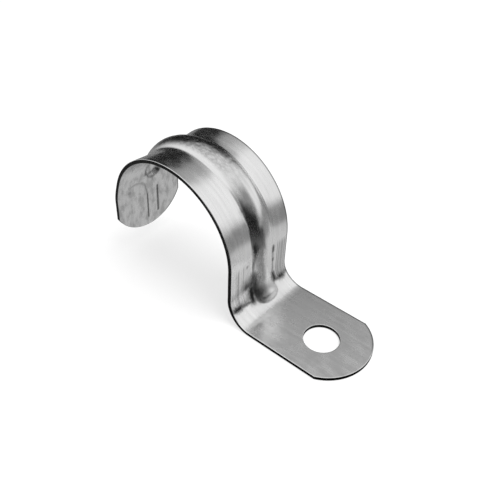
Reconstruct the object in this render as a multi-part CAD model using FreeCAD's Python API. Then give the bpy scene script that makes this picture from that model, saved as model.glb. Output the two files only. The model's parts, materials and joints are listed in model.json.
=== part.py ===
import FreeCAD, Part
import math
import os

# One-hole conduit strap, folded and pressed from one strip of sheet steel.
# Frame: origin on the conduit's axis at the middle of the strip, +Y along the conduit,
# +Z away from the wall that the foot is screwed to, +X towards the foot.

# Driving dimensions, in millimetres and degrees
conduit_diameter = 33.4
seat_clearance = 0.3  # across the diameter, between conduit and strap
sheet_thickness = 0.85
strip_width = 19.3  # of the flat ends
edge_draw_in = 0.3  # each edge, where the pressed rib draws the metal in
edge_standoff = 0.4  # the strip's edges lift off the conduit by this much
land_width = 0.9  # each side of the rib, where the strap bears on the conduit

hook_wrap = 86.9  # arc from the top of the arch to the hook's straight tail
tail_length = 5.2  # straight part of the hook, to its corners
leg_lean = 1.8  # the leg leans in under the conduit
leg_length = 7.9
bend_radius = 5.45  # concave side of the bend between leg and foot
foot_length = 17.3  # flat part of the foot, to its corners
end_bulge = 6.08  # how far the round ends of foot and hook stand out past their corners

rib_height = 1.6  # crest above the lands, over the conduit
rib_leg_height = 1.95  # the rib is pressed deeper where it stiffens the leg
rib_half_width = 3.6
rib_foot_radius = 0.9  # concave, on the upper face
rib_offset = 1.05  # from the middle of the strip, over the conduit
rib_leg_offset = 1.45  # and on the leg
rib_toe_angle = 68.0  # how far round the foot's bend the rib runs
rib_toe_length = 2.5  # over which it drops to the strip there: blunter than a half round
rib_hook_angle = 82.0  # where the rib ends on the hook side, from the top of the arch

screw_hole_diameter = 7.9
screw_hole_setback = 4.8  # from the foot's corners back to the hole's centre
screw_hole_offset = -0.33  # from the middle of the strip

rib_points = 9  # points of the rib's curve
runout_sections = 23  # cross-sections of each stretch where the rib runs out
leg_sections = 7

# Derived sizes
seat_radius = (conduit_diameter + seat_clearance) / 2
edge_radius = seat_radius + edge_standoff
under_bend_radius = bend_radius + sheet_thickness
leg_angle = math.radians(90 + leg_lean)  # the bend turns back by as much, to the flat foot

# Stations: distances along the strip's under side at its edges, from the top of the arch
tail_station = -edge_radius * math.radians(hook_wrap)
rib_hook_station = -edge_radius * math.radians(rib_hook_angle)
hook_runout_station = rib_hook_station + rib_half_width
leg_station = edge_radius * leg_angle
bend_station = leg_station + leg_length
foot_station = bend_station + under_bend_radius * leg_angle
rib_toe_station = bend_station + under_bend_radius * math.radians(rib_toe_angle)


def direction(angle):
    """Unit vector at this angle from +Z towards +X."""
    return FreeCAD.Vector(math.sin(angle), 0, math.cos(angle))


def along(angle):
    """Unit vector a quarter turn on, the way the strip runs there towards the foot."""
    return FreeCAD.Vector(math.cos(angle), 0, -math.sin(angle))


def station_frame(station):
    """The point of the strip's under side at a station, and the angle of its normal."""
    if station <= leg_station:
        angle = station / edge_radius
        return direction(angle) * edge_radius, angle
    leg_end = direction(leg_angle) * edge_radius + along(leg_angle) * leg_length
    centre = leg_end + direction(leg_angle) * under_bend_radius
    if station <= bend_station:
        return leg_end - along(leg_angle) * (bend_station - station), leg_angle
    angle = leg_angle - (station - bend_station) / under_bend_radius
    return centre - direction(angle) * under_bend_radius, angle


def smooth_step(share):
    share = min(max(share, 0.0), 1.0)
    return share * share * (3 - 2 * share)


def ribbed_share(station):
    """1 where the strip is fully pressed, falling smoothly to 0 at its flat ends."""
    if station < 0:
        return smooth_step((station - tail_station) / (hook_runout_station - tail_station))
    return 1 - smooth_step((station - bend_station) / (foot_station - bend_station))


def on_leg(station, over_conduit, on_the_leg):
    """A size of the rib, which changes smoothly along the leg."""
    return over_conduit + (on_the_leg - over_conduit) * smooth_step((station - leg_station) / leg_length)


def rib_rise(station, y):
    """Height of the rib over the lands: a round crest between two foot radii, with round ends in plan."""
    past_toe = (station - (rib_toe_station - rib_toe_length)) * rib_half_width / rib_toe_length
    past_hook = hook_runout_station - station
    reach = math.hypot(y - on_leg(station, rib_offset, rib_leg_offset), max(past_toe, past_hook, 0.0))
    height = on_leg(station, rib_height, rib_leg_height)
    flank_angle = 2 * math.atan(height / rib_half_width)
    crest_radius = rib_half_width / math.sin(flank_angle) - rib_foot_radius
    if reach < crest_radius * math.sin(flank_angle):
        return height - crest_radius + math.sqrt(crest_radius ** 2 - reach ** 2)
    to_foot = max(rib_half_width - reach, 0.0)
    return rib_foot_radius - math.sqrt(rib_foot_radius ** 2 - to_foot ** 2)


def section_wire(station):
    """Closed cross-section of the strip, square to its run, with the same edges at every station."""
    ribbed = ribbed_share(station)
    half_width = strip_width / 2 - edge_draw_in * ribbed
    land = -edge_standoff * ribbed
    offset = on_leg(station, rib_offset, rib_leg_offset)
    point, angle = station_frame(station)
    outward = direction(angle)

    def place(y, height):
        return point + FreeCAD.Vector(0, y, 0) + outward * height

    top, under = [], []
    for i in range(rib_points):
        y = offset + rib_half_width * (2 * i / (rib_points - 1) - 1)
        step = 0.01
        slope = (rib_rise(station, y + step) - rib_rise(station, y - step)) / (2 * step)
        tilt = math.atan(slope)
        height = land + sheet_thickness + rib_rise(station, y)
        top.append(place(y, height))
        shift = sheet_thickness * math.sin(tilt)
        under.append(place(y + shift, height - sheet_thickness * math.cos(tilt)))
    sides = []
    for height, rib in ((sheet_thickness, top), (0.0, under)):
        left = place(-half_width, height)
        left_land = place(offset - rib_half_width - land_width, land + height)
        right_land = place(offset + rib_half_width + land_width, land + height)
        right = place(half_width, height)
        curve = Part.BSplineCurve()
        curve.interpolate(rib)
        sides.append([
            Part.makeLine(left, left_land),
            Part.makeLine(left_land, rib[0]),
            curve.toShape(),
            Part.makeLine(rib[-1], right_land),
            Part.makeLine(right_land, right),
        ])
    over, below = sides
    right_edge = Part.makeLine(over[-1].Vertexes[1].Point, below[-1].Vertexes[1].Point)
    left_edge = Part.makeLine(below[0].Vertexes[0].Point, over[0].Vertexes[0].Point)
    return Part.Wire(over + [right_edge] + below[::-1] + [left_edge])


def skinned(first, last, sections):
    """Stretch of strip where the section changes, skinned over cross-sections."""
    stations = [first + (last - first) * i / (sections - 1) for i in range(sections)]
    return Part.makeLoft([section_wire(station) for station in stations], True, False)


def end_plate(length):
    """Flat end of the strip: square at x = 0, with a round end past its corners at x = length."""
    half = strip_width / 2
    corner_left = FreeCAD.Vector(length, -half, 0)
    corner_right = FreeCAD.Vector(length, half, 0)
    tip = FreeCAD.Vector(length + end_bulge, 0, 0)
    outline = Part.Wire([
        Part.makeLine(FreeCAD.Vector(0, -half, 0), corner_left),
        Part.Arc(corner_left, tip, corner_right).toShape(),
        Part.makeLine(corner_right, FreeCAD.Vector(0, half, 0)),
        Part.makeLine(FreeCAD.Vector(0, half, 0), FreeCAD.Vector(0, -half, 0)),
    ])
    return Part.Face(outline).extrude(FreeCAD.Vector(0, 0, sheet_thickness))


def arch():
    """Ribbed arch over the conduit, from the hook's run-out to the leg."""
    section = Part.Face(section_wire(hook_runout_station))
    sweep = math.degrees(leg_angle - hook_runout_station / edge_radius)
    return section.revolve(FreeCAD.Vector(0, 0, 0), FreeCAD.Vector(0, 1, 0), sweep)


def tail():
    """Straight round-ended tail of the hook, tangent to the arch."""
    plate = end_plate(tail_length)
    point, angle = station_frame(tail_station)
    turn = FreeCAD.Rotation(-along(angle), FreeCAD.Vector(0, -1, 0), direction(angle), "XZY")
    plate.Placement = FreeCAD.Placement(point, turn)
    return plate


def foot():
    """Flat foot with its screw hole."""
    plate = end_plate(foot_length)
    centre = FreeCAD.Vector(foot_length - screw_hole_setback, screw_hole_offset, -1)
    plate = plate.cut(Part.makeCylinder(screw_hole_diameter / 2, sheet_thickness + 2, centre))
    point, _ = station_frame(foot_station)
    plate.translate(point)
    return plate


def strap():
    stretches = [
        skinned(tail_station, hook_runout_station, runout_sections),
        arch(),
        skinned(leg_station, bend_station, leg_sections),
        skinned(bend_station, foot_station, runout_sections),
        foot(),
    ]
    return tail().fuse(stretches).removeSplitter()


os.makedirs("parts", exist_ok=True)
strap().exportStep("parts/strap.step")
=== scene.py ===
import bpy
import json
import math
import numpy as np
from mathutils import Matrix, Vector


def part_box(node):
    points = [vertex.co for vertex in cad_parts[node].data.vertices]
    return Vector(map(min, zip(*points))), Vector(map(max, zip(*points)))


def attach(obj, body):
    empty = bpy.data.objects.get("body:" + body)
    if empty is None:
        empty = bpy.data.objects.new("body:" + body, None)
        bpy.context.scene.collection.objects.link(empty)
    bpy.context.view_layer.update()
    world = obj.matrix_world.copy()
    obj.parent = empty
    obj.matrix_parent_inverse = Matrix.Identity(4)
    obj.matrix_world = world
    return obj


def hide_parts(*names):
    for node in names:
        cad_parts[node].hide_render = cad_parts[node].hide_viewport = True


# One-hole conduit strap pressed from zinc-plated sheet steel, on a pale floor.

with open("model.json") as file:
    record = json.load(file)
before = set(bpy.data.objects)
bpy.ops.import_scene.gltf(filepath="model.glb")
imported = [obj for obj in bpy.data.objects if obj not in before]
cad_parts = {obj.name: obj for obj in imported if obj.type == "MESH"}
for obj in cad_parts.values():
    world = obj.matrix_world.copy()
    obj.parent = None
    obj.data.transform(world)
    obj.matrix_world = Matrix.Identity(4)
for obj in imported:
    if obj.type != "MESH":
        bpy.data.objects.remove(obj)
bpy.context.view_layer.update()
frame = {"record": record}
mounts = {mount["name"]: mount for mount in frame["record"]["mounts"]}
seat = mounts["conduit_seat"]
screwHole = mounts["screw_hole"]
strapLow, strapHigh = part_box("strap")
print("frame loaded")

# The sheet, in metres and degrees. Stations run along the strip's under side from the top of the
# arch, positive towards the foot, and y is across the strip.
sheetForm = {
    "seatRadius": seat["dims"]["r_mm"] / 1000,
    "thickness": screwHole["dims"]["length_mm"] / 1000,
    "width": strapHigh[1] - strapLow[1] - 0.00001,  # a hair inside the strap's box
    "standoff": 0.0004,  # the edges stand off the conduit
    "softStart": 0.12,  # share of the way to an edge over which that rise begins
    "drawIn": 0.0003,  # of each edge, where the strip is ribbed
    "land": 0.0009,  # each side of the rib, on the conduit
    "hookWrap": 86.9,
    "tail": 0.0052,
    "lean": 1.8,
    "leg": 0.0079,
    "bend": 0.00545,
    "foot": 0.0173,
    "bulge": 0.00608,  # of the round ends
    "ribHeight": (0.0016, 0.00195),  # over the conduit, and on the leg
    "ribHalf": 0.0036,
    "ribFoot": 0.0009,  # radius where it runs into the strip
    "ribOffset": (0.00105, 0.00145),
    "ribToe": 68.0,
    "toeLength": 0.0025,
    "ribHook": 82.0,
    "rollover": 0.00009,  # soft upper edge that the shear leaves
    "rolloverSteps": 4,
    "wallSteps": 3,
    "burr": 0.00005,
    "burrSteps": 2,
    "columns": 96,
    "rows": 256,
    "tailRows": 30,
    "footRings": 34,
    "sideSteps": 48,  # along each side of the foot
    "endSteps": 60,  # round its end
}


def stationsOf(form):
    # Where each stretch of the strip begins, from its radii and angles.
    radius = form["seatRadius"] + form["standoff"]
    under = form["bend"] + form["thickness"]
    legAngle = math.radians(90 + form["lean"])
    found = {"radius": radius, "under": under, "legAngle": legAngle}
    found["tail"] = -radius * math.radians(form["hookWrap"])
    found["hookRunout"] = -radius * math.radians(form["ribHook"]) + form["ribHalf"]
    found["leg"] = radius * legAngle
    found["bend"] = found["leg"] + form["leg"]
    found["foot"] = found["bend"] + under * legAngle
    found["toe"] = found["bend"] + under * math.radians(form["ribToe"]) - form["toeLength"]
    half = form["width"] / 2
    found["endRadius"] = (half**2 + form["bulge"] ** 2) / (2 * form["bulge"])
    inward = found["endRadius"] - form["bulge"]  # from a pair of corners to their arc's centre
    found["footCentre"] = found["foot"] + form["foot"] - inward
    found["tailCentre"] = found["tail"] - form["tail"] + inward
    return found


marks = stationsOf(sheetForm)


def smooth(share):
    # Eases from 0 to 1: three times the square less twice the cube, held level outside.
    share = np.clip(share, 0, 1)
    return share * share * (3 - 2 * share)


def easeFrom(value, start, span):
    # 0 up to the start, and 1 from a span further on.
    return smooth((value - start) / span)


def underPath(s):
    # Arch of one radius, straight leg, bend the other way and flat foot, joined tangent to tangent.
    turn = np.clip(s, marks["tail"], marks["leg"]) / marks["radius"]
    legTurn, under = marks["legAngle"], marks["under"]
    x = marks["radius"] * np.sin(turn)
    z = marks["radius"] * np.cos(turn)
    down = np.clip(s - marks["leg"], 0, sheetForm["leg"])
    x = x + down * math.cos(legTurn)
    z = z - down * math.sin(legTurn)
    past = np.clip(s - marks["bend"], 0, under * legTurn) / under
    x = x + under * (math.sin(legTurn) - np.sin(legTurn - past))
    z = z + under * (math.cos(legTurn) - np.cos(legTurn - past))
    over = np.maximum(s - marks["foot"], 0)
    short = np.maximum(marks["tail"] - s, 0)
    tailTurn = marks["tail"] / marks["radius"]
    x = x + over - short * math.cos(tailTurn)
    z = z + short * math.sin(tailTurn)
    return x, z, turn - past


def ribbedShare(s):
    # 1 where the strip is fully pressed, easing to 0 at the hook's tail and at the foot.
    hook = easeFrom(s, marks["tail"], marks["hookRunout"] - marks["tail"])
    bend = 1 - easeFrom(s, marks["bend"], marks["foot"] - marks["bend"])
    return np.where(s < 0, hook, bend)


def halfWidth(s):
    # Half the strip's width, less what each edge is drawn in there.
    return sheetForm["width"] / 2 - sheetForm["drawIn"] * ribbedShare(s)


def onLeg(s, sizes):
    # From the size over the conduit to the size on the leg, eased along the leg.
    return sizes[0] + (sizes[1] - sizes[0]) * easeFrom(s, marks["leg"], sheetForm["leg"])


def ribRise(s, y):
    # Crest arc and two foot arcs, tangent to each other, over the distance from the rib's middle
    # line. Past the rib's ends that distance is measured from a point, so they are round in plan.
    pastToe = (s - marks["toe"]) * sheetForm["ribHalf"] / sheetForm["toeLength"]
    past = np.maximum(np.maximum(pastToe, marks["hookRunout"] - s), 0)
    half, foot = sheetForm["ribHalf"], sheetForm["ribFoot"]
    reach = np.minimum(np.hypot(y - onLeg(s, sheetForm["ribOffset"]), past), half)
    height = onLeg(s, sheetForm["ribHeight"])
    flank = 2 * np.arctan(height / half)
    crest = half / np.sin(flank) - foot
    over = height - crest + np.sqrt(np.maximum(crest**2 - reach**2, 0))
    under = foot - np.sqrt(np.maximum(foot**2 - (half - reach) ** 2, 0))
    return np.where(reach < crest * np.sin(flank), over, under)


def dish(s, y):
    # Lands on the conduit beside the rib, then a straight rise to the edges with a soft start.
    half, middle = halfWidth(s), onLeg(s, sheetForm["ribOffset"])
    start = sheetForm["ribHalf"] + sheetForm["land"]
    span = np.where(y < middle, half + middle, half - middle) - start
    share = (np.abs(y - middle) - start) / span
    soft = sheetForm["softStart"]
    ramp = (share + np.hypot(share, soft)) / (1 + math.hypot(1, soft))
    return sheetForm["standoff"] * ribbedShare(s) * (np.minimum(ramp, 1) - 1)


pressMarks = {  # station, across, length, breadth, turn, height: all in millimetres and degrees
    "left pucker": (39.3, -6.4, 0.55, 2.4, 2, -0.05),
    "right pucker": (39.3, 6.2, 0.5, 1.7, -4, -0.05),
    "shoulder dent": (29.5, -6.6, 1.6, 1.2, 0, -0.02),
    "far shoulder dent": (28.5, 6.8, 1.4, 1.3, 0, -0.02),
}

crestDents = {  # in millimetres
    "count": 30,
    "stations": (-9.5, 8.5),
    "across": (-1.1, 2.8),
    "size": (0.3, 0.6),
    "depth": 0.07,
    "shallowest": 0.4,  # share of that depth
    "seed": 5,
}

# Unevenness of the strip. A wave is radians per millimetre along and across, and a phase; two waves
# are crossed, and their product counts by a share.
sheetWaves = {
    "height": 0.006,
    "below": 2.2,  # keeps the waves under the smooth surface
    "crossed": (
        ((0.83, 0.9, 0.4), (-0.22, 0.61, 1.3), 1.0),
        ((1.47, -0.7, 2.1), (0.35, 1.13, 0.0), 0.6),
    ),
    "footHeight": 0.004,
    "footCrossed": ((0.5, 0.0, 0.0), (0.0, 0.45, 1.0)),
    "footEase": (-0.006, 0.004),  # metres from the foot's start, and over what length
}


def bumpAt(s, y, centre, size, turn=0.0):
    # Hill of height 1, an ellipse in plan: it falls with the exponent of minus the square of the
    # distance from its centre, each way counted in its own size.
    along, across = s - centre[0] / 1000, y - centre[1] / 1000
    cosine, sine = math.cos(math.radians(turn)), math.sin(math.radians(turn))
    u = (along * cosine + across * sine) / (size[0] / 1000)
    v = (across * cosine - along * sine) / (size[1] / 1000)
    return np.exp(-(u * u + v * v))


def crossedWaves(s, y, first, second):
    # Product of two sine waves, each with its own direction and phase.
    product = 1
    for along, across, phase in (first, second):
        product = product * np.sin(1000 * (along * s + across * y) + phase)
    return product


def relief(s, y):
    # Crossed waves, the press marks, and shallow dents on the crest, eased into the foot's waves.
    waves = 0
    for first, second, share in sheetWaves["crossed"]:
        waves = waves + share * crossedWaves(s, y, first, second)
    height = sheetWaves["height"] * (waves - sheetWaves["below"])
    for station, across, length, breadth, turn, lift in pressMarks.values():
        height = height + lift * bumpAt(s, y, (station, across), (length, breadth), turn)
    pick = np.random.default_rng(crestDents["seed"])
    for _ in range(crestDents["count"]):
        centre = pick.uniform(*crestDents["stations"]), pick.uniform(*crestDents["across"])
        size = pick.uniform(*crestDents["size"], 2)
        depth = crestDents["depth"] * pick.uniform(crestDents["shallowest"], 1)
        height = height - depth * bumpAt(s, y, centre, size)
    start, span = sheetWaves["footEase"]
    flat = easeFrom(s, marks["foot"] + start, span)
    onFoot = sheetWaves["footHeight"] * (1 + crossedWaves(s, y, *sheetWaves["footCrossed"]))
    return (height * (1 - flat) + onFoot * flat) / 1000


def overSide(s, y):
    # The path of the under side, raised along its normal by thickness, dish, rib and relief.
    x, z, turn = underPath(s)
    height = sheetForm["thickness"] + dish(s, y) + ribRise(s, y) + relief(s, y)
    return np.stack([x + np.sin(turn) * height, y, z + np.cos(turn) * height], -1)


def sheetPoint(s, y, depth):
    # The upper face at (s, y), then depth along its normal, so that the sheet keeps one thickness.
    step = 0.00002
    run = overSide(s + step, y) - overSide(s - step, y)
    side = overSide(s, y + step) - overSide(s, y - step)
    normal = np.cross(run, side)
    normal /= np.linalg.norm(normal, axis=-1, keepdims=True)
    return overSide(s, y) - normal * np.asarray(depth)[..., None]


def closeLoops(grid):
    # Repeats each row's first value at its end.
    return np.concatenate([grid, grid[..., :1]], -1)


def stripGrid(inset):
    # Rows run from the tail's round end to the foot; the first rows blend its arc into straight
    # ones. Columns go evenly from edge to edge.
    across = np.linspace(-1, 1, sheetForm["columns"] + 1)
    y = across * (sheetForm["width"] / 2 - inset)
    tip = marks["tailCentre"] - np.sqrt((marks["endRadius"] - inset) ** 2 - y**2)
    blend = np.linspace(0, 1, sheetForm["tailRows"] + 1)[:-1, None]
    tailRows = tip * (1 - blend) + marks["tail"] * blend
    rest = np.linspace(marks["tail"], marks["foot"], sheetForm["rows"] + 1)[:, None]
    s = np.vstack([tailRows, np.broadcast_to(rest, (rest.size, y.size))])
    return s, across * (halfWidth(s) - inset)


def footOutline(inset):
    # Start line, side, round end and side, clockwise from above, without its last point.
    half, endRadius = sheetForm["width"] / 2 - inset, marks["endRadius"] - inset
    startY = np.linspace(-1, 1, sheetForm["columns"] + 1) * half
    edge = math.asin(half / endRadius)
    corner = marks["footCentre"] + endRadius * math.cos(edge)
    side = np.linspace(marks["foot"], corner, sheetForm["sideSteps"] + 1)
    turn = np.linspace(edge, -edge, sheetForm["endSteps"] + 1)[1:-1]
    end = marks["footCentre"] + endRadius * np.cos(turn)
    s = np.concatenate([np.full(startY.size, marks["foot"]), side[1:], end, side[:0:-1]])
    sideY = np.full(sheetForm["sideSteps"], half)
    y = np.concatenate([startY, sideY, endRadius * np.sin(turn), -sideY])
    return s, y


def holeLoop(inset):
    # A point of the hole for each point of the outline, seen the same way from its centre.
    s, y = footOutline(0.0)
    s0 = marks["foot"] + screwHole["pos_m"][0] - underPath(np.array(marks["foot"]))[0]
    y0 = screwHole["pos_m"][1]
    turn = np.arctan2(y - y0, s - s0)
    radius = screwHole["dims"]["r_mm"] / 1000 + inset
    return s0 + radius * np.cos(turn), y0 + radius * np.sin(turn)


def footGrid(inset):
    # Rings that go evenly from the outline to the hole.
    share = np.linspace(0, 1, sheetForm["footRings"] + 1)[:, None]
    outer, inner = footOutline(inset), holeLoop(inset)
    s = outer[0] * (1 - share) + inner[0] * share
    y = outer[1] * (1 - share) + inner[1] * share
    return closeLoops(s), closeLoops(y)


def wholeOutline(inset):
    # The strip's two sides and its two round ends as one closed loop.
    s, y = stripGrid(inset)
    footS, footY = footOutline(inset)
    past = sheetForm["columns"] + 1
    s = np.concatenate([s[0], s[1:, -1], footS[past:], s[:0:-1, 0]])
    y = np.concatenate([y[0], y[1:, -1], footY[past:], y[:0:-1, 0]])
    return closeLoops(s), closeLoops(y)


def closedHole(inset):
    # The hole's loop, ending where it starts.
    s, y = holeLoop(inset)
    return closeLoops(s), closeLoops(y)


def rimGap(s, y):
    # Distance to the strip's outline, in millimetres: its sides, and the arcs of its two ends.
    gap = halfWidth(s) - np.abs(y)
    for past in (s - marks["footCentre"], marks["tailCentre"] - s):
        toArc = marks["endRadius"] - np.hypot(past, y)
        gap = np.where(past > 0, np.minimum(gap, toArc), gap)
    return 1000 * gap


def edgeRings(loop):
    # Quarter round down from the upper face, straight wall, quarter round to the under face.
    thick, over, burr = sheetForm["thickness"], sheetForm["rollover"], sheetForm["burr"]
    overTurns = np.radians(np.linspace(0, 90, sheetForm["rolloverSteps"] + 1))
    burrTurns = np.radians(np.linspace(0, 90, sheetForm["burrSteps"] + 1))
    wall = np.arange(1, sheetForm["wallSteps"]) / sheetForm["wallSteps"]
    insets = np.concatenate([
        over * (1 - np.sin(overTurns)),
        0 * wall,
        burr * (1 - np.cos(burrTurns)),
    ])
    depths = np.concatenate([
        over * (1 - np.cos(overTurns)),
        over + (thick - over - burr) * wall,
        thick - burr * (1 - np.sin(burrTurns)),
    ])
    rings = [loop(inset) for inset in insets]
    s = np.stack([ring[0] for ring in rings])
    y = np.stack([ring[1] for ring in rings])
    return s, y, np.repeat(depths[:, None], s.shape[1], 1)


def gridFaces(shape, flip=False):
    # Four-sided faces between neighbouring rows and columns of a grid.
    index = np.arange(shape[0] * shape[1]).reshape(shape)
    corners = [index[:-1, :-1], index[1:, :-1], index[1:, 1:], index[:-1, 1:]]
    faces = np.stack(corners, -1).reshape(-1, 4)
    return faces[:, ::-1] if flip else faces


def weld(patches):
    # Joins patches of (s, y, depth) grids into one list of points, merging equal ones. Faces from a
    # patch's shear row onwards take the second material.
    params, faces, slots, start = [], [], [], 0
    for s, y, depth, flip, shearRow in patches:
        params.append(np.stack([s, y, depth], -1).reshape(-1, 3))
        faces.append(gridFaces(s.shape, flip) + start)
        row = np.repeat(np.arange(s.shape[0] - 1), s.shape[1] - 1)
        slots.append((row >= shearRow).astype(np.int32))
        start += s.size
    params = np.concatenate(params)
    mergeSize = 1e-8
    keys = np.round(params / mergeSize).astype(np.int64)
    _, first, where = np.unique(keys, axis=0, return_index=True, return_inverse=True)
    return params[first], where.reshape(-1)[np.concatenate(faces)], np.concatenate(slots)


def meshObject(name, points, faces):
    mesh = bpy.data.meshes.new(name)
    mesh.from_pydata(points.reshape(-1, 3).tolist(), [], faces.tolist())
    mesh.polygons.foreach_set("use_smooth", np.ones(len(mesh.polygons), dtype=bool))
    mesh.update()
    thing = bpy.data.objects.new(name, mesh)
    bpy.context.scene.collection.objects.link(thing)
    return thing


def setValues(piece, name, values):
    # One number at each point, for the material to read.
    layer = piece.data.attributes.new(name, "FLOAT", "POINT")
    layer.data.foreach_set("value", np.asarray(values, dtype=np.float32).ravel())


def buildStrap():
    # Upper and under faces of strip and foot, then the sheared edge all round and in the hole.
    over, burr, thick = sheetForm["rollover"], sheetForm["burr"], sheetForm["thickness"]
    patches = []
    for inset, depth, flip in ((over, 0.0, False), (burr, thick, True)):
        for s, y in (stripGrid(inset), footGrid(inset)):
            patches.append((s, y, np.full(s.shape, depth), flip, math.inf))
    patches.append((*edgeRings(wholeOutline), True, sheetForm["rolloverSteps"]))
    patches.append((*edgeRings(closedHole), False, sheetForm["rolloverSteps"]))
    params, faces, slots = weld(patches)
    s, y, depth = params.T
    piece = meshObject("strapSheet", sheetPoint(s, y, depth), faces)
    piece.data.polygons.foreach_set("material_index", slots)
    place = np.stack([1000 * s, 1000 * y, depth / thick], -1)
    sheet = piece.data.attributes.new("sheet", "FLOAT_VECTOR", "POINT")
    sheet.data.foreach_set("vector", place.astype(np.float32).ravel())
    setValues(piece, "rim", rimGap(s, y))
    return piece


def newMaterial(name):
    material = bpy.data.materials.new(name)
    material.use_nodes = True
    tree = material.node_tree
    tree.nodes.clear()
    return material, tree


def addNode(tree, kind, inputs=None, **settings):
    node = tree.nodes.new(kind)
    for key, value in settings.items():
        setattr(node, key, value)
    for key, value in (inputs or {}).items():
        socket = node.inputs[key]
        if isinstance(value, bpy.types.NodeSocket):
            tree.links.new(value, socket)
        else:
            socket.default_value = value
    return node


def mathNode(tree, operation, total, *values, clamp=False):
    # The operation over all the values, one after the other.
    settings = {"operation": operation, "use_clamp": clamp}
    for value in values:
        total = addNode(tree, "ShaderNodeMath", {0: total, 1: value}, **settings).outputs[0]
    return total


def vectorNode(tree, operation, first, second):
    inputs = {0: first, "Scale" if operation == "SCALE" else 1: second}
    outputs = addNode(tree, "ShaderNodeVectorMath", inputs, operation=operation).outputs
    return outputs["Value" if operation in ("DOT_PRODUCT", "DISTANCE") else "Vector"]


def rangeNode(tree, value, fromEnds, toEnds):
    inputs = {
        "Value": value,
        "From Min": fromEnds[0],
        "From Max": fromEnds[1],
        "To Min": toEnds[0],
        "To Max": toEnds[1],
    }
    return addNode(tree, "ShaderNodeMapRange", inputs, interpolation_type="SMOOTHSTEP").outputs[0]


def grainNode(tree, place, grain):
    # Noise with grains of these lengths along and across, in millimetres.
    along, across, detail, rough = grain
    scaled = vectorNode(tree, "MULTIPLY", place, (1 / along, 1 / across, 1.0))
    inputs = {"Vector": scaled, "Scale": 1.0, "Detail": detail, "Roughness": rough}
    return addNode(tree, "ShaderNodeTexNoise", inputs).outputs["Fac"]


def finishMetal(tree, tone, rough, height, bump):
    # Grey metal whose tone and roughness vary; bump is its strength and depth over the height.
    colour = addNode(tree, "ShaderNodeCombineColor", {0: tone, 1: tone, 2: tone}).outputs[0]
    bumpInputs = {"Strength": bump[0], "Distance": bump[1], "Height": height}
    normal = addNode(tree, "ShaderNodeBump", bumpInputs).outputs[0]
    inputs = {"Base Color": colour, "Metallic": 1.0, "Roughness": rough, "Normal": normal}
    shader = addNode(tree, "ShaderNodeBsdfPrincipled", inputs).outputs[0]
    addNode(tree, "ShaderNodeOutputMaterial", {"Surface": shader})


# Scuffs and scratches, and marks of painted shade and painted reflection on the lip, the rib's
# left flank and toe, its left shoulder and along its two feet, in millimetres on the sheet: start
# and end as (station, across, 0 outside or 1 inside), width, darkness.
scuffsAndPaintedShade = {
    "lip scratch": ((-28.1, -0.65, 1), (-35.0, -0.72, 1), 0.45, 0.85),
    "lip scratch 2": ((-27.2, 2.6, 1), (-34.4, 2.5, 1), 0.6, 0.85),
    # painted shade: a soft dark line in the rib's hollow inside the hook, where the rib runs out
    "lip painted groove shade": ((-21.1, 0.7, 1), (-24.7, 1.1, 1), 0.9, 0.4),
    # painted reflection: a soft dark bow on the inside of the lip
    "lip painted reflection 1": ((-23.7, -6.2, 1), (-23.2, -4.4, 1), 0.8, 0.35),
    "lip painted reflection 2": ((-23.2, -4.4, 1), (-23.7, -2.6, 1), 0.8, 0.35),
    "lip painted reflection 3": ((-23.7, -2.6, 1), (-25.0, -1.3, 1), 0.8, 0.4),
    "lip painted reflection 4": ((-25.0, -1.3, 1), (-28.1, -0.65, 1), 0.6, 0.5),
    "lip spot": ((-25.2, -6.1, 1), (-25.3, -5.9, 1), 1.1, 0.5),
    "left heel 1": ((39.1, -8.3, 0), (39.2, -6.9, 0), 1.5, 0.95),
    "left heel 2": ((39.4, -6.4, 0), (39.6, -5.0, 0), 0.8, 0.8),
    "left heel 3": ((39.5, -5.0, 0), (39.9, -2.9, 0), 0.8, 0.8),
    # painted shade and painted dark reflection: the rib's dark left flank and toe corner on the
    # leg, and the dark patch on its left shoulder
    "left painted toe shade": ((37.0, -2.3, 0), (39.8, -2.9, 0), 1.9, 0.98),
    "left painted flank shade": ((33.0, -1.9, 0), (40.2, -1.4, 0), 1.9, 0.7),
    "shoulder painted reflection": ((16.8, -1.5, 0), (19.4, -1.1, 0), 1.9, 0.6),
    "left dot": ((29.2, -3.9, 0), (29.5, -3.9, 0), 0.5, 0.7),
    # painted shade: a dark line along the rib's left foot on the leg
    "left painted shade line": ((33.5, -1.9, 0), (38.2, -2.4, 0), 0.9, 0.8),
    "right heel 1": ((39.2, 7.7, 0), (39.2, 7.0, 0), 1.5, 0.92),
    "right heel 2": ((39.4, 6.6, 0), (38.9, 4.9, 0), 0.9, 0.75),
    # painted shade: a dark line on the far flange along the rib's right foot
    "right painted shade line": ((28.6, 4.9, 0), (38.6, 5.3, 0), 0.5, 0.6),
    "right painted shade line 1": ((29.1, 4.95, 0), (30.4, 4.95, 0), 0.8, 0.92),
    "right painted shade line 2": ((37.2, 5.2, 0), (38.8, 5.3, 0), 1.2, 0.9),
    "right painted shade line 3": ((32.7, 5.05, 0), (33.2, 5.05, 0), 0.8, 0.85),
}
scuffAndShadeFray = {"grain": (0.9, 0.22, 3, 0.7), "reach": 1.1}  # ragged rims, in widths of the mark


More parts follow.
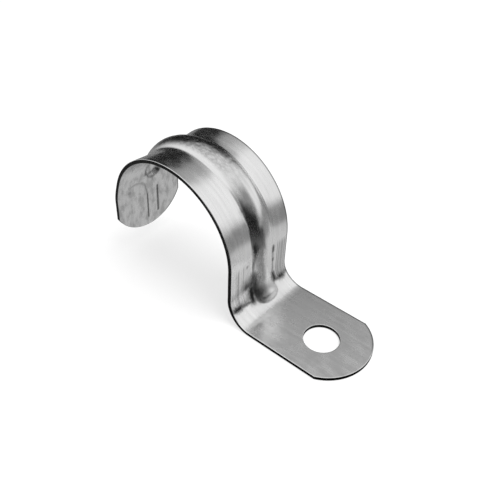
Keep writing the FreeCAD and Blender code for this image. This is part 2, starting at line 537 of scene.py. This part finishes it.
def scuffAndPaintedShadeMask(tree, place):
    # Largest darkness of all the scuff and painted shade marks, each falling off with the distance
    # to its line; noise frays the rims.
    fray = mathNode(tree, "SUBTRACT", grainNode(tree, place, scuffAndShadeFray["grain"]), 0.5)
    fray = mathNode(tree, "MULTIPLY", fray, scuffAndShadeFray["reach"])
    masks = []
    for start, end, width, dark in scuffsAndPaintedShade.values():
        run = Vector(end) - Vector(start)
        offset = vectorNode(tree, "SUBTRACT", place, start)
        share = vectorNode(tree, "DOT_PRODUCT", offset, run / run.length_squared)
        share = mathNode(tree, "MULTIPLY", share, 1.0, clamp=True)
        gap = vectorNode(tree, "DISTANCE", offset, vectorNode(tree, "SCALE", run, share))
        gap = mathNode(tree, "ADD", gap, mathNode(tree, "MULTIPLY", fray, width))
        masks.append(rangeNode(tree, gap, (width, 0.0), (0.0, dark)))
    return mathNode(tree, "MAXIMUM", *masks)


# Plated metal. A grain is length along, length across (millimetres), detail and roughness of a
# noise, and levels are what part of the noise counts. A zone is the stations (millimetres) over
# which a finish comes in, then those over which it goes.
zincLook = {
    "tones": (0.73, 0.83),  # dull and pale patches
    "toneLevels": (0.32, 0.68),
    "broadGrain": (14.0, 0.8, 2, 0.5),
    "broadShare": 0.6,  # of the tone; clouds make the rest
    "cloudGrain": (3.2, 2.4, 4, 0.6),
    "inside": 0.81,  # painted shade: share of its tone that the inside keeps
    "insideDepth": (0.3, 0.9),
    "rough": (0.18, 0.3),
    "roughLevels": (0.5, 1.0),
    "fineGrain": (9.0, 0.14, 3, 0.5),  # lines of the rolled sheet
    "speckGrain": (0.18, 0.13, 2, 0.5),
    "fineInRough": 0.5,
    "speckInBump": 0.25,
    "bump": (0.22, 0.00002),
}
dragLook = {  # fine lines that the die draws down the leg
    "grain": (80.0, 0.5, 2, 0.7),
    "levels": (0.42, 0.62),
    "dark": (0.0, 0.45),
    "zone": ((27.5, 29.5), (39.0, 39.7)),
    "ribPart": 1,  # 0 over the conduit, 1 on the leg
    "ribSides": (2.8, 3.6),  # millimetres from the rib's middle
    "ribShares": (0.12, 1.0),  # how much of them there
}
rubLook = {  # crest worn by handling
    "grain": (1.3, 0.7, 5, 0.75),
    "levels": (0.38, 0.6),
    "dark": (0.24, 0.55),
    "zone": ((-14.0, -10.0), (0.0, 19.0)),
    "ribPart": 0,
    "ribSides": (1.9, 3.0),
    "ribShares": (1.0, 0.0),
    "depth": (0.0, 0.5),  # goes out over this share of the thickness
}
stainLook = {  # clouds on the inside
    "grain": (3.4, 1.7, 3, 0.6),
    "levels": (0.42, 0.64),
    "dark": (0.0, 0.3),
    "depth": (0.5, 1.0),
}
farRimPaintedShade = {  # painted shade: a dark band along the far side's edge, by millimetres from the edge and across
    "gap": (0.15, 0.5),
    "dark": (0.7, 0.0),
    "across": (2.0, 6.0),
}
toeLook = {  # roughness that the drawing adds on the rib's toe
    "zone": ((34.0, 38.0), (42.5, 44.5)),
    "ribPart": 1,
    "ribSides": (3.0, 7.0),
    "ribShares": (0.14, 0.0),
}


def grainMask(tree, place, look):
    return rangeNode(tree, grainNode(tree, place, look["grain"]), look["levels"], look["dark"])


def zoneMask(tree, station, look):
    comes, goes = look["zone"]
    there = rangeNode(tree, station, comes, (0.0, 1.0))
    return mathNode(tree, "MULTIPLY", there, rangeNode(tree, station, goes, (1.0, 0.0)))


def ribMask(tree, across, look):
    # By the distance from the rib's middle line.
    middle = 1000 * sheetForm["ribOffset"][look["ribPart"]]
    away = mathNode(tree, "SUBTRACT", across, middle)
    away = addNode(tree, "ShaderNodeMath", {0: away}, operation="ABSOLUTE").outputs[0]
    return rangeNode(tree, away, look["ribSides"], look["ribShares"])


def wearAndPaintedShadeMask(tree, place, station, across, depth):
    # Darkest of the drawn lines, the scuff and painted shade marks, rubbed crest, inside clouds and
    # the painted shade along the far rim.
    lines = mathNode(
        tree,
        "MULTIPLY",
        grainMask(tree, place, dragLook),
        zoneMask(tree, station, dragLook),
        ribMask(tree, across, dragLook),
    )
    rub = mathNode(
        tree,
        "MULTIPLY",
        grainMask(tree, place, rubLook),
        zoneMask(tree, station, rubLook),
        ribMask(tree, across, rubLook),
        rangeNode(tree, depth, rubLook["depth"], (1.0, 0.0)),
    )
    inside = rangeNode(tree, depth, stainLook["depth"], (0.0, 1.0))
    clouds = mathNode(tree, "MULTIPLY", grainMask(tree, place, stainLook), inside)
    gap = addNode(tree, "ShaderNodeAttribute", attribute_name="rim").outputs["Fac"]
    # painted shade: the far side's rim is darkened, the near side's is not
    farSide = rangeNode(tree, across, farRimPaintedShade["across"], (0.0, 1.0))
    rim = mathNode(tree, "MULTIPLY", rangeNode(tree, gap, farRimPaintedShade["gap"], farRimPaintedShade["dark"]), farSide)
    return mathNode(tree, "MAXIMUM", lines, scuffAndPaintedShadeMask(tree, place), rub, clouds, rim)


def zincMaterial():
    material, tree = newMaterial("zincPlate")
    place = addNode(tree, "ShaderNodeAttribute", attribute_name="sheet").outputs["Vector"]
    station, across, depth = addNode(tree, "ShaderNodeSeparateXYZ", {0: place}).outputs
    fine = grainNode(tree, place, zincLook["fineGrain"])
    broad = grainNode(tree, place, zincLook["broadGrain"])
    cloud = grainNode(tree, place, zincLook["cloudGrain"])
    speck = grainNode(tree, place, zincLook["speckGrain"])
    share = zincLook["broadShare"]
    broad = mathNode(tree, "MULTIPLY", broad, share)
    patches = mathNode(tree, "ADD", broad, mathNode(tree, "MULTIPLY", cloud, 1 - share))
    tone = mathNode(
        tree,
        "MULTIPLY",
        rangeNode(tree, patches, zincLook["toneLevels"], zincLook["tones"]),
        # painted shade: the inside is darker than the upper face, eased in over insideDepth
        rangeNode(tree, depth, zincLook["insideDepth"], (1.0, zincLook["inside"])),
        mathNode(tree, "SUBTRACT", 1.0, wearAndPaintedShadeMask(tree, place, station, across, depth)),
    )
    uneven = mathNode(tree, "ADD", cloud, mathNode(tree, "MULTIPLY", fine, zincLook["fineInRough"]))
    rough = rangeNode(tree, uneven, zincLook["roughLevels"], zincLook["rough"])
    onToe = zoneMask(tree, station, toeLook)
    toe = mathNode(tree, "MULTIPLY", onToe, ribMask(tree, across, toeLook))
    rough = mathNode(tree, "ADD", rough, toe)
    height = mathNode(tree, "ADD", fine, mathNode(tree, "MULTIPLY", speck, zincLook["speckInBump"]))
    finishMetal(tree, tone, rough, height, zincLook["bump"])
    return material


edgeLook = {  # bare steel of the sheared edge
    "grain": (0.25, 0.25, 3, 0.6),
    "levels": (0.3, 0.7),
    "tones": (0.008, 0.05),
    "rough": (0.62, 0.48),
    "bump": (0.5, 0.00004),
}


def shearedMaterial():
    material, tree = newMaterial("shearedEdge")
    place = addNode(tree, "ShaderNodeAttribute", attribute_name="sheet").outputs["Vector"]
    ridges = grainNode(tree, place, edgeLook["grain"])
    tone = rangeNode(tree, ridges, edgeLook["levels"], edgeLook["tones"])
    rough = rangeNode(tree, ridges, edgeLook["levels"], edgeLook["rough"])
    finishMetal(tree, tone, rough, ridges, edgeLook["bump"])
    return material


strap = buildStrap()
strap.data.materials.append(zincMaterial())
strap.data.materials.append(shearedMaterial())
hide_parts("strap")
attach(strap, "root")
print("strap made:", len(strap.data.polygons), "faces")


def discGrid(radius, spokes, height):
    # Rings round the strap's middle: radius times the cosine and the sine of the turn, all level.
    turn = np.linspace(0, 2 * np.pi, spokes + 1)
    middle = (Vector(strapLow) + Vector(strapHigh)) / 2
    x = middle[0] + radius[:, None] * np.cos(turn)
    y = middle[1] + radius[:, None] * np.sin(turn)
    return np.stack([x, y, np.full(x.shape, height)], -1)


def seenRays(tree):
    # 1 for what the camera, gloss and glass look at, 0 for what only lights the strap.
    rays = addNode(tree, "ShaderNodeLightPath").outputs
    names = ("Is Camera Ray", "Is Glossy Ray", "Is Transmission Ray")
    return mathNode(tree, "MAXIMUM", *(rays[name] for name in names))


def glowNode(tree, kind, strength):
    # White light of this strength.
    return addNode(tree, kind, {"Color": (1, 1, 1, 1), "Strength": strength}).outputs[0]


def mixSurfaces(tree, share, first, second):
    return addNode(tree, "ShaderNodeMixShader", {0: share, 1: first, 2: second}).outputs[0]


def coverSurface(tree, surface):
    # The surface where the cover is 1, clear where it is 0.
    cover = addNode(tree, "ShaderNodeAttribute", attribute_name="cover").outputs["Fac"]
    clear = addNode(tree, "ShaderNodeBsdfTransparent").outputs[0]
    addNode(tree, "ShaderNodeOutputMaterial", {"Surface": mixSurfaces(tree, cover, clear, surface)})


floorForm = {
    "radius": 0.34,
    "fade": 0.12,  # width of its soft rim
    "tone": 0.95,
    "glow": 0.6,  # share of plain white that camera and reflections see in it
    "gap": 0.00002,  # under the foot
    "middle": 0.00001,  # radius of the first ring
    "rings": 24,
    "spokes": 96,
}


def floorMaterial():
    material, tree = newMaterial("paleFloor")
    tone = floorForm["tone"]
    plain = addNode(tree, "ShaderNodeBsdfDiffuse", {"Color": (tone, tone, tone, 1)}).outputs[0]
    white = glowNode(tree, "ShaderNodeEmission", 1.0)
    seen = mathNode(tree, "MULTIPLY", seenRays(tree), floorForm["glow"])
    coverSurface(tree, mixSurfaces(tree, seen, plain, white))
    return material


def buildFloor():
    # Disc of even rings under the strap, with a cover value that falls off at its rim.
    radius = np.linspace(floorForm["middle"], floorForm["radius"], floorForm["rings"])
    points = discGrid(radius, floorForm["spokes"], strapLow[2] - floorForm["gap"])
    floor = meshObject("paleFloor", points, gridFaces(points.shape[:2]))
    cover = 1 - easeFrom(radius, floorForm["radius"] - floorForm["fade"], floorForm["fade"])
    setValues(floor, "cover", np.repeat(cover, points.shape[1]))
    floor.data.materials.append(floorMaterial())


def cardMaterial(name):
    material, tree = newMaterial(name)
    shade = addNode(tree, "ShaderNodeAttribute", attribute_name="shade").outputs["Fac"]
    coverSurface(tree, glowNode(tree, "ShaderNodeEmission", shade))
    return material


def stageCard(name, points, cover, shade):
    # Cover and shade are worked out at each point; only reflections see the card.
    shape = points.shape[:2]
    card = meshObject(name, points, gridFaces(shape))
    setValues(card, "cover", np.broadcast_to(cover, shape))
    setValues(card, "shade", np.broadcast_to(shade, shape))
    card.data.materials.append(cardMaterial(name))
    card.visible_camera = card.visible_diffuse = False
    card.visible_shadow = card.visible_transmission = False


# Card on the floor, in metres and shades from 0 to 1. An ease is where a change starts and over
# what length.
floorCard = {
    "radius": 0.46,
    "rimEase": (0.276, 0.184),
    "lift": 0.0001,  # over the floor
    "front": (0.3, 0.01),  # under the arch, and before the leg
    "frontEase": (0.006, 0.012),
    "past": 0.13,  # lighter by this much just past the foot
    "pastEase": (0.044, 0.01),
    "pastReach": (0.04, 0.055),
    "back": (0.66, 0.27),  # near the strap, and further off
    "backEase": (0.04, 0.022),
    "turn": (-0.008, 0.01),  # across the strap, where front turns to back
    "slant": 0.35,
    "hole": 0.2,  # under the screw hole
    "holeEase": (0.006, 0.004),
    "closeRings": (0.06, 91),  # radius and number of the rings near the strap
    "farRings": (0.07, 30),
    "spokes": 96,
}


def buildFloorCard():
    # Disc on the floor, dark in front of the strap and grey behind it: shades mixed by eased
    # distances along x, across y and out from the middle.
    closeRadius, closeCount = floorCard["closeRings"]
    farRadius, farCount = floorCard["farRings"]
    radius = np.concatenate([
        np.linspace(floorForm["middle"], closeRadius, closeCount),
        np.linspace(farRadius, floorCard["radius"], farCount),
    ])
    height = strapLow[2] - floorForm["gap"] + floorCard["lift"]
    points = discGrid(radius, floorCard["spokes"], height)
    x, y, out = points[..., 0], points[..., 1], radius[:, None]
    under, before = floorCard["front"]
    front = under + (before - under) * easeFrom(x, *floorCard["frontEase"])
    nearFoot = 1 - easeFrom(out, *floorCard["pastReach"])
    front = front + floorCard["past"] * easeFrom(x, *floorCard["pastEase"]) * nearFoot
    near, off = floorCard["back"]
    back = near + (off - near) * easeFrom(out, *floorCard["backEase"])
    share = easeFrom(y - floorCard["slant"] * x, *floorCard["turn"])
    shade = front + (back - front) * share
    toHole = np.hypot(x - screwHole["pos_m"][0], y - screwHole["pos_m"][1])
    shade = np.maximum(shade, floorCard["hole"] * (1 - easeFrom(toHole, *floorCard["holeEase"])))
    stageCard("floorCard", points, 1 - easeFrom(out, *floorCard["rimEase"]), shade)


# Dark and grey cards round the strap, seen only as reflections. In degrees: bearing from +Y
# towards +X, height, half width, half height, and how far the top leans to smaller bearings; then
# the shade.
studioCards = {
    "leftCard": (-50, 18, 60, 47, 0, 0.015),
    "frontCard": (127, 0, 62, 46, 20, 0.02),
    "horizonCard": (40, -6, 60, 18, 0, 0.25),
    "leftUpperCard": (-32, 50, 42, 15, 0, 0.42),
    "frontUpperCard": (102, 34, 42, 24, 10, 0.3),
}
cardForm = {"distance": 0.5, "apart": 0.01, "softRim": 0.6, "columns": 41, "rows": 25}


def buildCard(name, bearing, height, halfWide, halfHigh, lean, shade, distance):
    # Patch of a sphere round the seat, even in bearing and height, with a cover value that fades
    # at its rim.
    u = np.linspace(-1, 1, cardForm["columns"])[:, None]
    v = np.linspace(-1, 1, cardForm["rows"])[None, :]
    turn = np.radians(bearing + u * halfWide - v * lean)
    rise = np.radians(height + v * halfHigh)
    x = np.sin(turn) * np.cos(rise)
    y = np.cos(turn) * np.cos(rise)
    points = distance * np.stack([x, y, np.sin(rise) + 0 * x], -1)
    soft = cardForm["softRim"]
    cover = smooth((1 - np.abs(u)) / soft) * smooth((1 - np.abs(v)) / soft)
    stageCard(name, points, cover, shade)


worldLook = {"strengths": (0.85, 1.0)}  # on the strap, and as the white ground


def buildWorld():
    world = bpy.data.worlds.new("paleStudio")
    bpy.context.scene.world = world
    world.use_nodes = True
    tree = world.node_tree
    tree.nodes.clear()
    strength = rangeNode(tree, seenRays(tree), (0.0, 1.0), worldLook["strengths"])
    back = glowNode(tree, "ShaderNodeBackground", strength)
    addNode(tree, "ShaderNodeOutputWorld", {"Surface": back})


softLight = {"place": (0.25, 0.05, 0.55), "size": 0.4, "power": 2.5}


def buildLight():
    lamp = bpy.data.lights.new("softLight", "AREA")
    lamp.shape = "DISK"
    lamp.size = softLight["size"]
    lamp.energy = softLight["power"]
    thing = bpy.data.objects.new("softLight", lamp)
    bpy.context.scene.collection.objects.link(thing)
    thing.location = Vector(seat["pos_m"]) + Vector(softLight["place"])
    thing.rotation_euler = Vector(softLight["place"]).to_track_quat("Z", "Y").to_euler()
    thing.visible_glossy = False


cameraForm = {
    "azimuth": 40.117,  # 0 looks along +Y, 90 along -X
    "elevation": 39.658,
    "roll": 1.098,
    "distance": 0.135935,
    "aim": (0.011777, 0.003931, -0.005528),  # from the conduit seat
    "lens": 42.855,
    "sensor": 36,
    "clipStart": 0.002,
}


def buildCamera():
    # Looks at the aim from a bearing and a height, and rolls about that line.
    turn, rise, roll = (math.radians(cameraForm[key]) for key in ("azimuth", "elevation", "roll"))
    outward = Vector((math.sin(turn), -math.cos(turn), 0))
    back = outward * math.cos(rise) + Vector((0, 0, math.sin(rise)))
    level = Vector((math.cos(turn), math.sin(turn), 0))
    upright = back.cross(level)
    right = level * math.cos(roll) + upright * math.sin(roll)
    up = upright * math.cos(roll) - level * math.sin(roll)
    place = Vector(seat["pos_m"]) + Vector(cameraForm["aim"]) + back * cameraForm["distance"]
    lens = bpy.data.cameras.new("camera")
    lens.lens = cameraForm["lens"]
    lens.sensor_width = cameraForm["sensor"]
    lens.clip_start = cameraForm["clipStart"]
    camera = bpy.data.objects.new("camera", lens)
    bpy.context.scene.collection.objects.link(camera)
    rows = [(right[i], up[i], back[i], place[i]) for i in range(3)]
    camera.matrix_world = Matrix((*rows, (0, 0, 0, 1)))
    bpy.context.scene.camera = camera


buildFloor()
buildFloorCard()
for layer, (name, settings) in enumerate(studioCards.items()):
    buildCard(name, *settings, cardForm["distance"] - cardForm["apart"] * layer)
buildWorld()
buildLight()
buildCamera()
bpy.context.scene.view_settings.view_transform = "Standard"
print("stage set")
